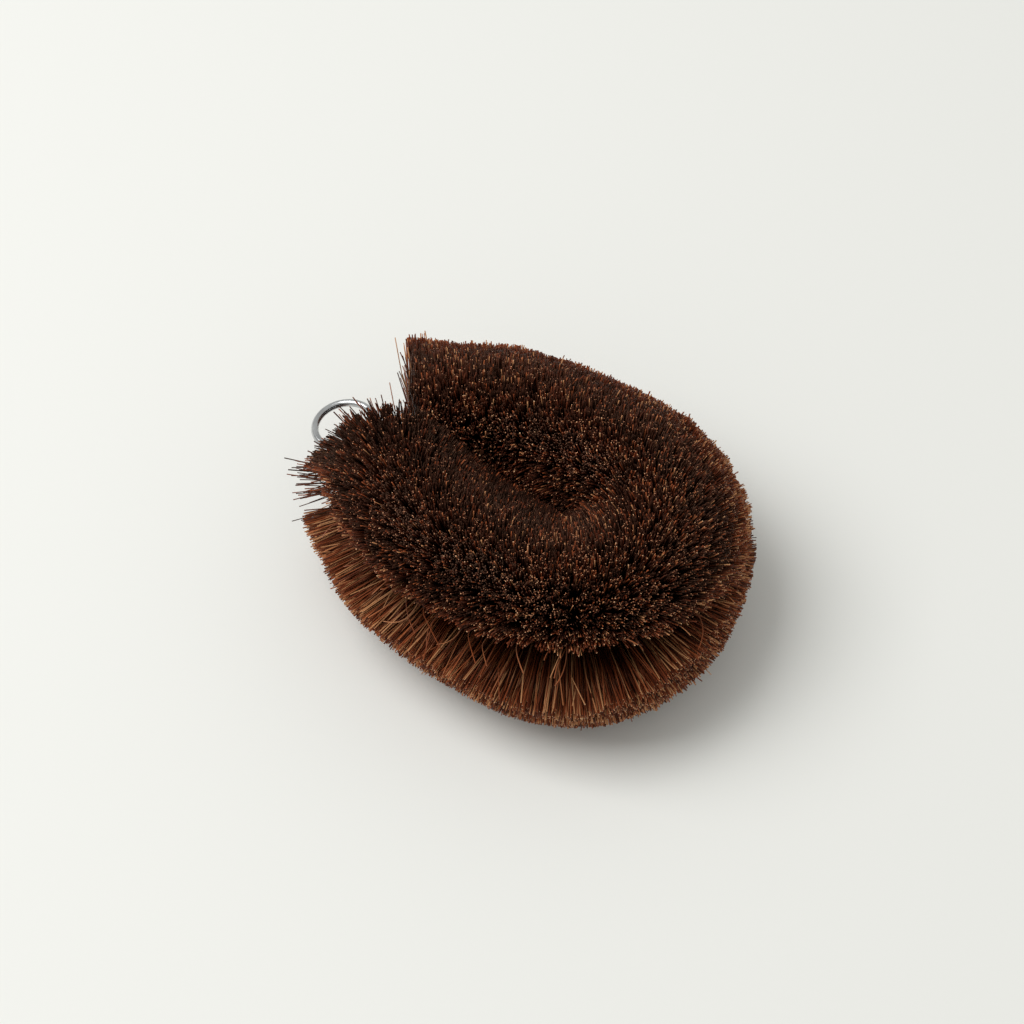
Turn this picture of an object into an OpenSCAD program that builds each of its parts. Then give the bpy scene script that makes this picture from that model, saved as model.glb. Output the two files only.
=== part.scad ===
// Palm brush: a round bar of palm fibre held in a twisted wire, bent into a horseshoe
// whose two arms lie side by side, with a steel ring for hanging it up.
// +X runs from the ring to the bend, +Y across the arms, +Z up.
// The origin is the middle of the brush's base, on the surface that it stands on.

/* [Horseshoe] */
// Distance from the middle of the brush to each arm's wire, also the bend's radius
core_half_gap = 19.3; // [18:0.1:24]
// Length of each arm's straight stretch
arm_straight = 12; // [6:0.5:30]
// Distance from the middle of the brush to the wire where each arm's fibres end
end_half_gap = 3.4; // [3:0.1:6]
// Angle through which each arm turns in towards the ring, in degrees
toe_angle = 54; // [48:1:58]

/* [Fibre pile] */
// Radius to which the fibres are sheared round the wire
pile_r = 22.7; // [19:0.1:26]
// Radius of the packed fibre roots round the wire
root_r = 4; // [3.4:0.1:5]
// Depth of the flat where the lowest fibres stand on the surface
floor_cut = 0.5; // [0.3:0.1:1.2]
// Upper edge of the parting on the outer side, in degrees above level
parting_above = 25; // [10:1:40]
// Lower edge of the parting on the outer side, in degrees below level
parting_below = 6; // [0:1:20]
// Gap that the tips keep to the plane where the two arms meet
seam_gap = 1.2; // [1.2:0.1:3]
// Radius of the hollow in the middle of the bend
hollow_r = 4; // [3.5:0.5:9]
// Length of each arm's end over which its fibres lean more and more
lean_len = 14; // [8:1:20]
// Distance by which the near arm's last tips lean out past its end
near_lean = 2.8; // [0:0.1:4]
// Distance by which the far arm's last tips lean out past its end
far_lean = 1.3; // [0:0.1:3]
// Distance by which they lean back again on the outside, where that end is cut slanting
far_slant = 4.2; // [0:0.1:5]
// Length that the far arm's last fibres have over the others on the outside
far_longer = 2.6; // [0:0.1:3]
// Radius of a lock of fibres at its root
lock_root_r = 0.42; // [0.3:0.02:0.5]
// Radius of a lock of fibres at its tip
lock_tip_r = 1.25; // [0.8:0.05:1.4]
// Length of wire that one bunch fills: half a turn of the twist, or nearly so
bunch_len = 6; // [5:0.1:9]
// Space along the wire between one bunch of roots and the next
bunch_gap = 0.2; // [0.1:0.05:0.6]

/* [Core wire] */
// Diameter of the folded wire
wire_d = 1.4; // [1.2:0.1:1.6]
// Space that the clamped fibres keep between the wire's two legs
leg_gap = 0.5; // [0.5:0.05:0.7]
// Clearance between the twisted wire and the roots that it holds
root_clearance = 0.3; // [0.2:0.05:0.4]
// Radius on which the four legs lie where both arms are twisted together
neck_r = 2.1; // [2:0.05:2.3]
// Length of the neck, from where the two arms' wires meet to the eye
neck_len = 5.8; // [5.6:0.1:8]
// Part of the neck in which the cut tails wind along, before they end
tail_share = 0.5; // [0.4:0.05:0.55]
// Inner radius of the eye at the wire's fold
eye_inner_r = 1.6; // [1.5:0.1:2.4]
// Radius on which the legs open into the eye
eye_flare_r = 1.6; // [1.4:0.1:2.4]

/* [Hanging ring] */
// Outer diameter of the ring
ring_od = 16; // [14:0.5:24]
// Diameter of the ring's wire
ring_wire_d = 1.8; // [1.4:0.1:2]
// Clearance between the ring's wire and the eye that it hangs in
ring_clearance = 0.3; // [0.2:0.05:0.5]
// Angle by which the ring droops from level at rest, in degrees
ring_droop = 8; // [0:1:20]

/* [Hidden] */
fibre_colour = "#5a2f1c";
steel_colour = "#c9ccce";

locks_per_bunch = 18;
lock_sides = 3;
// Part of its full reach that an inner lock needs, or it is left out
shortest_share = 0.56;
// Part of the roots' radius at which a lock starts, inside them
lock_start_share = 0.68;
least_spread = 0.35;
most_spread = 1.45;
// Share of a lock's place by which a bunch starts, and by which every other one is turned
first_lock = 0.25;
stagger = 0.5;
// Radius that stands for the turn of a straight stretch
straight_r = 1e6;

core_z = pile_r - floor_cut;
toe_r = (core_half_gap - end_half_gap) / (1 - cos(toe_angle));
toe_len = toe_r * toe_angle * PI / 180;
bend_len = core_half_gap * PI;
s_straight = toe_len;
s_bend = s_straight + arm_straight;
s_far = s_bend + bend_len;
s_toe_out = s_far + arm_straight;
s_end = s_toe_out + toe_len;

// Bunches of fibre along each turned-in end, each straight stretch and the bend
toe_bunches = round(toe_len / bunch_len);
straight_bunches = round(arm_straight / bunch_len);
bend_bunches = round(bend_len / bunch_len);
bunches = 2 * (toe_bunches + straight_bunches) + bend_bunches;

leg_r = (wire_d + leg_gap) / 2;
bore_r = leg_r + wire_d / 2 + root_clearance;
neck_side = neck_r * cos(45);
bare_r = (end_half_gap - neck_side) / (1 - cos(toe_angle));
bare_len = bare_r * toe_angle * PI / 180;
// Whole turns of the twist between the two ends of the neck
turns = round((s_end + 2 * bare_len) / (2 * bunch_len));
rings_per_turn = 8;
tail_rings = 4;
neck_rings = 8;
flare_rings = 3;
loop_rings = 16;
wire_sides = 6;
// Points of the wire's middle line left out before a gap to itself is measured
gap_skip = 24;
gap_steps = 4;

root_facets = 48;
turn_facets = 96;
ring_wire_facets = 32;

ring_r = (ring_od - ring_wire_d) / 2;
end_x = -arm_straight - toe_r * sin(toe_angle);
neck_x = end_x - bare_r * sin(toe_angle);
eye_x = neck_x - neck_len;
eye_r = eye_inner_r + wire_d / 2;
flare_dx = sqrt(pow(eye_r + eye_flare_r, 2) - pow(leg_r + eye_flare_r, 2));
flare_angle = atan2(leg_r + eye_flare_r, flare_dx);
loop_x = eye_x - flare_dx;
// Middle of the ring's wire where it lies in the eye, and the axis it swings about
swing_x = loop_x - eye_inner_r + ring_clearance + ring_wire_d / 2;

// The finished model is centred on X between the ring's tip and the bend's tips
ring_tip_x = swing_x - 2 * ring_r * cos(ring_droop) - ring_wire_d / 2;
bend_tip_x = max([for (n = [0:bunches - 1], l = locks(n), p = lock_points(l[0], l[1])) p.x]);
shift_x = -(ring_tip_x + bend_tip_x) / 2;

function unit(v) = v / norm(v);
function mix(a, b, t) = a * (1 - t) + b * t;
function clamp(v, low, high) = max(low, min(high, v));
function smooth(t) = t * t * (3 - 2 * t);

// Heading of the core's path at the length s from where the near arm's fibres start
function heading(s) =
    s < 0 ? -toe_angle * (1 + s / bare_len) :
    s < s_straight ? -toe_angle * (1 - s / toe_len) :
    s < s_bend ? 0 :
    s < s_far ? 180 * (s - s_bend) / bend_len :
    s < s_toe_out ? 180 :
    s <= s_end ? 180 + toe_angle * (s - s_toe_out) / toe_len :
    180 + toe_angle * (1 - (s - s_end) / bare_len);

// Level direction across the path, away from the middle of the brush
function outward(s) = [sin(heading(s)), -cos(heading(s)), 0];
function along(s) = [cos(heading(s)), sin(heading(s)), 0];

// Point on the core's path at the length s, bare wire included on both sides
function core(s) =
    s < 0 ? [end_x, -end_half_gap, core_z]
        + bare_r * (-outward(s) - [sin(toe_angle), cos(toe_angle), 0]) :
    s < s_straight ? [-arm_straight, toe_r - core_half_gap, core_z] + toe_r * outward(s) :
    s < s_bend ? [s - s_bend, -core_half_gap, core_z] :
    s < s_far ? [0, 0, core_z] + core_half_gap * outward(s) :
    s < s_toe_out ? [s_far - s, core_half_gap, core_z] :
    s <= s_end ? [-arm_straight, core_half_gap - toe_r, core_z] + toe_r * outward(s) :
    [end_x, end_half_gap, core_z]
        + bare_r * (-outward(s) - [sin(toe_angle), -cos(toe_angle), 0]);

// Radius of the path's turn at s, towards the inside of the horseshoe
function turn_r(s) =
    s < s_straight || s > s_toe_out ? toe_r :
    s < s_bend || s > s_far ? straight_r :
    core_half_gap;

// Level distance from the wire to the seam, or to the hollow inside the bend
function inner_reach(s) =
    s > s_bend && s < s_far ? core_half_gap - hollow_r :
    (abs(core(s).y) - seam_gap) / abs(cos(heading(s)));

// Length along the path where bunch number n starts, counted from 0
function bunch_start(n) =
    let (straight_n = toe_bunches + straight_bunches, far_n = straight_n + bend_bunches)
    n <= toe_bunches ? toe_len * n / toe_bunches :
    n <= straight_n ? s_straight + arm_straight * (n - toe_bunches) / straight_bunches :
    n <= far_n ? s_bend + bend_len * (n - straight_n) / bend_bunches :
    n <= far_n + straight_bunches ? s_far + arm_straight * (n - far_n) / straight_bunches :
    s_toe_out + toe_len * (n - far_n - straight_bunches) / toe_bunches;

// A lock's angle round the wire: 0 is outwards, 90 up; the parting is left open
function lock_angle(a) =
    a < 180 ? mix(parting_above, 180, a / 180) : mix(180, 360 - parting_below, a / 180 - 1);

// A tapered strand from a to b, cut off level where it would pass below the surface
function strand_points(a, b, r_a, r_b, side) =
    let (
        d = unit(b - a),
        u = unit(cross(d, side)),
        v = cross(d, u),
        ring = [for (i = [0:lock_sides - 1]) let (t = 360 * i / lock_sides) u * cos(t) + v * sin(t)],
        low = [for (p = ring) a + r_a * p],
        high = [for (p = ring) b + r_b * p]
    )
    concat(low, [for (i = [0:lock_sides - 1])
        let (p = low[i], q = high[i]) q.z < 0 ? mix(p, q, p.z / (p.z - q.z)) : q]);

module tube_mesh(points, sides) {
    rings = len(points) / sides;
    walls = [for (r = [0:rings - 2], i = [0:sides - 1])
        let (p = r * sides + i, q = r * sides + (i + 1) % sides)
        each [[p, q + sides, q], [p, p + sides, q + sides]]];
    ends = [for (i = [1:sides - 2])
        let (last = (rings - 1) * sides)
        each [[0, i, i + 1], [last, last + i + 1, last + i]]];
    polyhedron(points, concat(walls, ends), convexity = 6);
}

// How far the place s lies in an arm's end: 1 where its fibres end, 0 from lean_len inwards
function end_share(from_end) = pow(clamp(1 - from_end / lean_len, 0, 1), 2);
function near_share(s) = end_share(s);
function far_share(s) = end_share(s_end - s);

// Radius to which a lock is sheared: the far arm's last ones are longer on the outside
function shear_r(s, angle) = pile_r + far_longer * far_share(s) * max(cos(angle), 0);

// Level distance of a lock's tip from the wire: the inner ones stop at the seam
function lock_across(s, angle) = max(shear_r(s, angle) * cos(angle), -inner_reach(s));

// Distance along the path by which a lock's tip leans, no further than to the seam
function lock_lean(s, angle) =
    let (
        outer = max(cos(angle), 0),
        past = near_lean * near_share(s) + (far_lean - far_slant * outer) * far_share(s),
        tip_y = abs((core(s) + lock_across(s, angle) * outward(s)).y),
        room = max(tip_y - seam_gap, 0) / max(abs(sin(heading(s))), least_spread)
    )
    (s > s_end / 2 ? 1 : -1) * min(past, room);

function lock_tip(s, angle) =
    core(s)
        + lock_across(s, angle) * outward(s)
        + lock_lean(s, angle) * along(s)
        + [0, 0, shear_r(s, angle) * sin(angle)];

// Locks that the other arm would press to less than the shortest share are left out
function lock_kept(s, angle) = -pile_r * cos(angle) * shortest_share <= inner_reach(s);

// Locks crowd on the inside of a turn and where the seam presses them, and spread outside
function tip_r(s, angle) =
    lock_tip_r
        * clamp(1 + lock_across(s, angle) / turn_r(s), least_spread, most_spread)
        * min(1, inner_reach(s) / max(-pile_r * cos(angle), inner_reach(s)));

// One lock of fibres, from inside its roots to where it was sheared
function lock_points(s, angle) =
    let (
        tip = lock_tip(s, angle),
        start = core(s) + lock_start_share * root_r * unit(tip - core(s))
    )
    strand_points(start, tip, lock_root_r, tip_r(s, angle), along(s));

// Slice of the packed roots between two lengths along the path, bored for the wire
module root_slice(s0, s1) {
    r = turn_r((s0 + s1) / 2);
    h0 = heading(s0);
    module ring_shape() {
        difference() {
            circle(r = root_r, $fn = root_facets);
            circle(r = bore_r, $fn = root_facets);
        }
    }
    if (r < straight_r)
        translate(core(s0) - r * outward(s0))
            rotate([0, 0, h0 - 90])
                rotate_extrude(angle = heading(s1) - h0, $fn = turn_facets)
                    translate([r, 0])
                        ring_shape();
    else
        translate(core(s0))
            rotate([0, 0, h0])
                rotate([90, 0, 90])
                    linear_extrude(height = s1 - s0)
                        ring_shape();
}

// Every lock of bunch number n, as its place along the path and its angle. The fibres
// clamped in half a turn of the twist fan out as a spiral, and every other bunch is turned
// on, so that the tips lie staggered.
function locks(n) =
    [for (k = [0:locks_per_bunch - 1])
        let (
            turn = 360 * (k + first_lock + stagger * (n % 2)) / locks_per_bunch,
            margin = lock_root_r + bunch_gap,
            s = mix(bunch_start(n) + margin, bunch_start(n + 1) - margin, (turn % 180) / 180)
        )
        if (lock_kept(s, lock_angle(turn))) [s, lock_angle(turn)]];

// One bunch: its slice of the packed roots, and its locks
module fibre_bunch(n) {
    color(fibre_colour)
        union() {
            root_slice(bunch_start(n) + bunch_gap / 2, bunch_start(n + 1) - bunch_gap / 2);
            for (l = locks(n))
                tube_mesh(lock_points(l[0], l[1]), lock_sides);
        }
}

// Middle of leg number m of the twisted wire at the length s along the path
function twisted_leg(s, m) =
    let (
        turn = 90 + 360 * turns * (s + bare_len) / (s_end + 2 * bare_len) + 180 * m,
        open = smooth(clamp(max(-s, s - s_end) / bare_len, 0, 1)),
        r = mix(leg_r, neck_side, open)
    )
    core(s) + r * (cos(turn) * outward(s) + sin(turn) * [0, 0, 1]);

// Point of a pair of legs that winds half a turn about the neck's axis: the pair's middle
// keeps the distance off from the axis, and its two legs the distance apart from there
function neck_point(t, start, off, apart) =
    let (a = start + 180 * t)
    [neck_x - neck_len * t, off * cos(a) - apart * sin(a), core_z + off * sin(a) + apart * cos(a)];

// A cut tail of the far arm, from its end back to where the neck starts
function tail_points(up, n) =
    [for (i = [n:-1:1]) neck_point(tail_share * i / n, 0, neck_side, up * neck_side)];

// A leg of the near arm, which closes in on the neck's axis once the tails have ended
function eye_leg_points(up, n) =
    [for (i = [1:n - 1])
        let (
            t = i / n,
            close = smooth(clamp((t - tail_share) / (1 - tail_share), 0, 1)),
            off = mix(neck_side, 0, close),
            apart = mix(neck_side, leg_r, close)
        )
        neck_point(t, 180, off, -up * apart)];

// Leg number m from its cut tail, through the neck and all round the horseshoe
function leg_points(m, steps) =
    let (
        up = m == 0 ? 1 : -1,
        n = steps * rings_per_turn * turns
    )
    concat(
        tail_points(up, steps * tail_rings),
        [for (i = [n:-1:0]) twisted_leg(mix(-bare_len, s_end + bare_len, i / n), m)],
        eye_leg_points(up, steps * neck_rings)
    );

// Half of the eye, from the end of the neck on the side up (1 or -1) to the fold
function eye_half(up, steps) =
    let (flare_n = steps * flare_rings, loop_n = steps * loop_rings / 2)
    concat(
        [for (i = [0:flare_n])
            let (t = (90 - flare_angle) * i / flare_n)
            [eye_x - eye_flare_r * sin(t), 0, core_z + up * (leg_r + eye_flare_r * (1 - cos(t)))]],
        [for (i = [1:loop_n])
            let (t = (180 - flare_angle) * (1 - i / loop_n))
            [loop_x - eye_r * cos(t), 0, core_z + up * eye_r * sin(t)]]
    );

function reversed(v) = [for (i = [len(v) - 1:-1:0]) v[i]];

// Middle line of the whole folded wire: tail, leg, eye, leg and tail
function wire_points(steps) =
    let (back = reversed(eye_half(1, steps)))
    concat(
        leg_points(0, steps),
        eye_half(-1, steps),
        [for (i = [1:len(back) - 1]) back[i]],
        reversed(leg_points(1, steps))
    );

// Least gap of a tube of diameter d to itself, between points of its middle line that are
// at least skip points apart
function least_gap(path, d, skip) =
    min([for (i = [0:len(path) - skip - 1])
        min([for (j = [i + skip:len(path) - 1]) norm(path[i] - path[j])])]) - d;

// Points of a round tube along a line of points, carried along without twisting
function tube_points(path, r, sides) =
    let (
        n = len(path),
        dir = [for (i = [0:n - 1]) unit(path[min(n - 1, i + 1)] - path[max(0, i - 1)])],
        first = unit(cross(dir[0], [0.1, 1, 0.2])),
        normals = [for (i = 0, u = first; i < n;
            i = i + 1, u = i < n ? unit(u - (u * dir[i]) * dir[i]) : u) u]
    )
    [for (i = [0:n - 1], k = [0:sides - 1])
        let (t = 360 * k / sides) path[i] + r * (normals[i] * cos(t) + cross(dir[i], normals[i]) * sin(t))];

module core_wire() {
    color(steel_colour)
        tube_mesh(tube_points(wire_points(1), wire_d / 2, wire_sides), wire_sides);
}

module hanging_ring() {
    color(steel_colour)
        translate([swing_x, 0, core_z])
            rotate([0, -ring_droop, 0])
                translate([-ring_r, 0, 0])
                    rotate_extrude($fn = turn_facets)
                        translate([ring_r, 0])
                            circle(d = ring_wire_d, $fn = ring_wire_facets);
}

echo(str("least gap of the wire to itself, in mm: ",  // core_wire
        least_gap(wire_points(gap_steps), wire_d, gap_skip)));
translate([shift_x, 0, 0]) core_wire();
translate([shift_x, 0, 0]) hanging_ring();
for (n = [1:bunches])
    translate([shift_x, 0, 0]) fibre_bunch(n - 1);
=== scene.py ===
# %% [markdown]
# # Palm brush
#
# A hand scrub brush of palm fibre (a tawashi). Two legs of steel wire are twisted together with the
# fibres clamped between them, the round pile is sheared, and the bar is bent into a horseshoe whose
# arms lie against each other. A steel ring hangs in the eye at the wire's fold.
#
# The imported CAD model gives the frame. Its ring stays as it is and gets polished steel. Its locks of
# fibre give way to the real thing: a pile of single fibres, one piece for each bunch, so that every
# half turn of the wire still has its own bunch. All lengths below are in metres, in the CAD's frame:
# +X from the ring to the bend, +Y across the arms, +Z up, with z = 0 on the floor.

import math

import bpy
import numpy as np
from mathutils import Euler, Matrix, Vector


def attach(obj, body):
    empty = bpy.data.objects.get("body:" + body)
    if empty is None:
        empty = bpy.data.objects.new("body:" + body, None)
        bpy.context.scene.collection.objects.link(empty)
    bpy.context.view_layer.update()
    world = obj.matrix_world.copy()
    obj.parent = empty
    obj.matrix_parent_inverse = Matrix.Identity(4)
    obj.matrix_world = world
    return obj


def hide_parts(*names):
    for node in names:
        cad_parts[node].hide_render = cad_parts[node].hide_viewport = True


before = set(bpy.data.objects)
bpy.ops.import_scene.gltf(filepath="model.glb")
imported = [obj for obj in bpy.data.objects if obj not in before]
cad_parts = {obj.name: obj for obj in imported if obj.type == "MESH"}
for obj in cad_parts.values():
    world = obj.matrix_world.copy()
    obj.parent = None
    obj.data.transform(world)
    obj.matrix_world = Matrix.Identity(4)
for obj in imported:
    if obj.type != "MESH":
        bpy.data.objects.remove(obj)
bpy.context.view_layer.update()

MM = 0.001
SEED = 7


# %% [markdown]
# ## Sizes of the horseshoe
#
# The horseshoe has the CAD's sizes. Each arm runs straight back from the bend and then turns in, in
# an arc called the toe here, to lie close to the other arm. Bare wire turns back out of the toe and
# runs into the neck. Both arcs turn by the same angle, so each radius follows from the distance
# that its arc crosses: radius = distance / (1 - cos(angle)).

# %% Sizes of the horseshoe
CORE_HALF_GAP = 19.3 * MM
ARM_STRAIGHT = 12.0 * MM
END_HALF_GAP = 3.4 * MM
TOE_ANGLE = math.radians(54)
CENTRE_SHIFT = 14.969 * MM
NECK_R = 2.1 * MM
NECK_SIDE = NECK_R * math.cos(math.pi / 4)

PILE_R = 22.7 * MM
FLOOR_CUT = 0.5 * MM
CORE_Z = PILE_R - FLOOR_CUT

TOE_R = (CORE_HALF_GAP - END_HALF_GAP) / (1 - math.cos(TOE_ANGLE))
TOE_LEN = TOE_R * TOE_ANGLE
BARE_R = (END_HALF_GAP - NECK_SIDE) / (1 - math.cos(TOE_ANGLE))
BARE_LEN = BARE_R * TOE_ANGLE
NECK_X = CENTRE_SHIFT - ARM_STRAIGHT - (TOE_R + BARE_R) * math.sin(TOE_ANGLE)

# Lengths along the wire, from the near arm's first fibre, where each stretch ends
S_STRAIGHT = TOE_LEN
S_BEND = S_STRAIGHT + ARM_STRAIGHT
S_FAR = S_BEND + CORE_HALF_GAP * math.pi
S_TOE_OUT = S_FAR + ARM_STRAIGHT
S_END = S_TOE_OUT + TOE_LEN
print("length of wire that carries fibre:", round(S_END / MM, 1), "mm")

# %% [markdown]
# ## The path of the wire
#
# Everything on the brush follows one level line. It could be a Bezier curve, but the fibres need the
# line's place and direction at thousands of lengths at once, so it is worked out here as arrays. Two
# numbers say where it runs: its heading turns evenly with the length s along each stretch, and its
# place is the sum of the small steps taken in that heading. s is 0 where the near arm's fibres start
# and S_END where the far arm's end, with bare wire beyond both.

# %% The line as small steps
STOPS = np.array([-BARE_LEN, 0, S_STRAIGHT, S_BEND, S_FAR, S_TOE_OUT, S_END, S_END + BARE_LEN])
HEADINGS = np.array([0, -TOE_ANGLE, 0, 0, math.pi, math.pi, math.pi + TOE_ANGLE, math.pi])
PATH_STEPS = 8000
UP = np.array([0, 0, 1.0])

line_s = np.linspace(STOPS[0], STOPS[-1], PATH_STEPS)
line_heading = np.interp((line_s[1:] + line_s[:-1]) / 2, STOPS, HEADINGS)
line_step = (STOPS[-1] - STOPS[0]) / (PATH_STEPS - 1)
line_x = NECK_X + np.concatenate([[0], np.cumsum(np.cos(line_heading)) * line_step])
line_y = -NECK_SIDE + np.concatenate([[0], np.cumsum(np.sin(line_heading)) * line_step])
print("the line ends", round(abs(line_y[-1] - NECK_SIDE) / MM, 4), "mm from the neck's other side")


# %% Place, direction and curvature at a length
def heading(s):
    """Heading of the path at the length s, in radians from +X."""
    return np.interp(s, STOPS, HEADINGS)


def core(s):
    """Points on the path: (x(s), y(s), CORE_Z)."""
    x, y = np.interp(s, line_s, line_x), np.interp(s, line_s, line_y)
    return np.stack([x, y, np.full(np.shape(s), CORE_Z)], -1)


def along(s):
    """Unit vectors along the path: (cos h, sin h, 0)."""
    h = heading(s)
    return np.stack([np.cos(h), np.sin(h), np.zeros_like(h)], -1)


def outward(s):
    """Level unit vectors across the path, away from the brush's middle: (sin h, -cos h, 0)."""
    h = heading(s)
    return np.stack([np.sin(h), -np.cos(h), np.zeros_like(h)], -1)


def in_bend(s):
    """True between the lengths where the bend starts and ends."""
    return (s > S_BEND) & (s < S_FAR)


def turn(s):
    """Curvature of the path at s: 1 / radius, and 0 on the straight stretches."""
    bent = np.where(in_bend(s), 1 / CORE_HALF_GAP, 0.0)
    return np.where((s < S_STRAIGHT) | (s > S_TOE_OUT), 1 / TOE_R, bent)


print("middle of the bend in mm:", np.round(core(np.array([S_END / 2])) / MM, 1).tolist())

# %% [markdown]
# ## Colours, nodes and meshes
#
# Three small tools serve every piece. Blender works in linear light, so a colour's hex code is
# turned linear first. Nodes could be laid out by hand in the editor; here one function adds a node
# with its settings and links. Another fills a mesh from arrays, far quicker than point by point.


# %% Colours and shader nodes
def linear(code):
    """An sRGB hex code as a linear colour: c / 12.92 when dark, else ((c + 0.055) / 1.055) ^ 2.4."""
    channels = [int(code[i:i + 2], 16) / 255 for i in (1, 3, 5)]
    return [c / 12.92 if c <= 0.04045 else ((c + 0.055) / 1.055) ** 2.4 for c in channels] + [1.0]


def add(tree, kind, inputs=None, stops=None, **settings):
    """Adds a shader node with its settings, the values or links of its inputs, and a ramp's stops."""
    node = tree.nodes.new(kind)
    for key, value in settings.items():
        setattr(node, key, value)
    for key, value in (inputs or {}).items():
        if isinstance(value, bpy.types.NodeSocket):
            tree.links.new(value, node.inputs[key])
        else:
            node.inputs[key].default_value = value
    for i, (position, code) in enumerate(stops or []):
        elements = node.color_ramp.elements
        element = elements[i] if i < len(elements) else elements.new(position)
        element.position, element.color = position, linear(code)
    return node


def material(name, **shader):
    """A new material, its node tree and its Principled shader with these sockets set."""
    m = bpy.data.materials.new(name)
    m.use_nodes = True
    bsdf = m.node_tree.nodes["Principled BSDF"]
    for key, value in shader.items():
        bsdf.inputs[key.replace("_", " ")].default_value = value
    return m, m.node_tree, bsdf


print("mid grey #808080 is", round(linear("#808080")[0], 3), "in linear light")


# %% Arrays to a mesh
def mesh_object(name, points, triangles, mat, smooth=None, uv=None):
    """A mesh object at the origin, from arrays of points and of outward-facing triangles."""
    mesh = bpy.data.meshes.new(name)
    mesh.vertices.add(len(points))
    mesh.vertices.foreach_set("co", np.ascontiguousarray(points, np.float32).ravel())
    mesh.loops.add(3 * len(triangles))
    mesh.loops.foreach_set("vertex_index", np.ascontiguousarray(triangles, np.int32).ravel())
    mesh.polygons.add(len(triangles))
    mesh.polygons.foreach_set("loop_start", np.arange(0, 3 * len(triangles), 3, dtype=np.int32))
    smooth = np.ones(len(triangles), bool) if smooth is None else smooth
    mesh.polygons.foreach_set("use_smooth", smooth)
    if uv is not None:
        layer = mesh.uv_layers.new(name="OFBake")
        layer.data.foreach_set("uv", np.ascontiguousarray(uv, np.float32).ravel())
    mesh.update()
    mesh.validate()
    mesh.materials.append(mat)
    obj = bpy.data.objects.new(name, mesh)
    bpy.context.scene.collection.objects.link(obj)
    return obj


print("nodes of the CAD model:", len(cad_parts))

# %% [markdown]
# ## Palm fibre
#
# Palm fibre is the tough hair that wraps a palm's trunk, combed and cut. Some fibres are nearly
# black and some tan. Each is painted darker towards its root, as painted shade where the packed
# fibres shade each other, and some cut ends are painted pale, as painted glints. The skin is thin,
# brown and a little waxy, so its glints are warm.
#
# A noise over the whole brush would tint patches of it, not single fibres. So each fibre carries its
# own numbers in the bake map: U holds its tone and V the place along it, up to SIDES_END on its
# sides, CUT_DARK on a dark cut end and CUT_PALE on one with a painted glint. The colour is made from
# that map alone.

# %% The map's numbers
SIDES_END = 0.96
CUT_DARK = 0.97
# Cut ends drawn pale here are painted glints
CUT_PALE = 1.0
SIDE_WIDTH = 0.012
# One side of a fibre is 0.25 mm wide and SIDE_WIDTH on the map, so 90 to the unit gives about one
# streak a side; 6 along a fibre are each about 4 mm long. Real streaks are finer than the render
# shows, so they are drawn this coarse.
STREAKS_ACROSS = 90.0
STREAKS_ALONG = 6.0
print("streaks to a side:", round(STREAKS_ACROSS * SIDE_WIDTH, 2))


# %% Palm fibre material
def palm_fibre_material():
    """Colour = tone's brown x painted shade darkening towards the root x streaks, and the cut end over
    it, the pale ones as painted glints.
    """
    m, tree, bsdf = material("palm_fibre", Roughness=0.38)
    bsdf.inputs["Specular IOR Level"].default_value = 0.35
    bsdf.inputs["Specular Tint"].default_value = linear("#ffc8a4")
    uv = add(tree, "ShaderNodeUVMap", uv_map="OFBake").outputs["UV"]
    place = add(tree, "ShaderNodeSeparateXYZ", {"Vector": uv})
    tone, v = place.outputs["X"], place.outputs["Y"]
    brown = add(tree, "ShaderNodeValToRGB", {"Fac": tone}, [
        (0.0, "#150603"), (0.3, "#33130a"), (0.6, "#6e2e17"), (0.85, "#ae5c35"), (1.0, "#d99c6b")])
    # Painted shade: each fibre is drawn darker towards its root, where the pile shades itself
    root_shade = add(tree, "ShaderNodeValToRGB", {"Fac": v}, [
        (0.0, "#202020"), (0.5, "#4e4e4e"), (0.78, "#a8a8a8"), (0.95, "#ffffff")])
    spread = add(tree, "ShaderNodeVectorMath", {0: uv, 1: (STREAKS_ACROSS, STREAKS_ALONG, 1.0)},
                 operation="MULTIPLY")
    grain = add(tree, "ShaderNodeTexNoise", {
        "Vector": spread.outputs["Vector"], "Scale": 1.0, "Detail": 2.0})
    streak = add(tree, "ShaderNodeValToRGB", {"Fac": grain.outputs["Fac"]}, [
        (0.3, "#9a9a9a"), (0.7, "#ffffff")])
    root_shaded = add(tree, "ShaderNodeMix", {0: 1.0, 6: brown.outputs["Color"], 7: root_shade.outputs["Color"]},
               data_type="RGBA", blend_type="MULTIPLY")
    body = add(tree, "ShaderNodeMix", {0: 0.6, 6: root_shaded.outputs[2], 7: streak.outputs["Color"]},
               data_type="RGBA", blend_type="MULTIPLY")
    # Black up to the dark cut ends, white from the pale ones on, which are painted glints
    cut = add(tree, "ShaderNodeValToRGB", {"Fac": v}, [(0.98, "#000000"), (0.99, "#ffffff")])
    # Colours of the painted glints on the pale cut ends
    glint_brown = add(tree, "ShaderNodeValToRGB", {"Fac": tone}, [
        (0.1, "#a0684c"), (0.5, "#d29c74"), (0.9, "#eec49a")])
    colour = add(tree, "ShaderNodeMix", {
        0: cut.outputs["Color"], 6: body.outputs[2], 7: glint_brown.outputs["Color"]}, data_type="RGBA")
    tree.links.new(colour.outputs[2], bsdf.inputs["Base Color"])
    return m


FIBRE = palm_fibre_material()
print(FIBRE.name, "has", len(FIBRE.node_tree.nodes), "nodes")

# %% [markdown]
# ## Single fibres
#
# Hair strands have no solid form to export, and bevelled curves would be slow at this number. So a
# fibre is a thin three-sided tube along a few points, closed at both ends: the fewest faces that
# still look round at 0.3 mm. Thousands are worked out as one array, so a bunch is one mesh.

# %% One fibre's triangles
MIDDLE = 0.62


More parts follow.
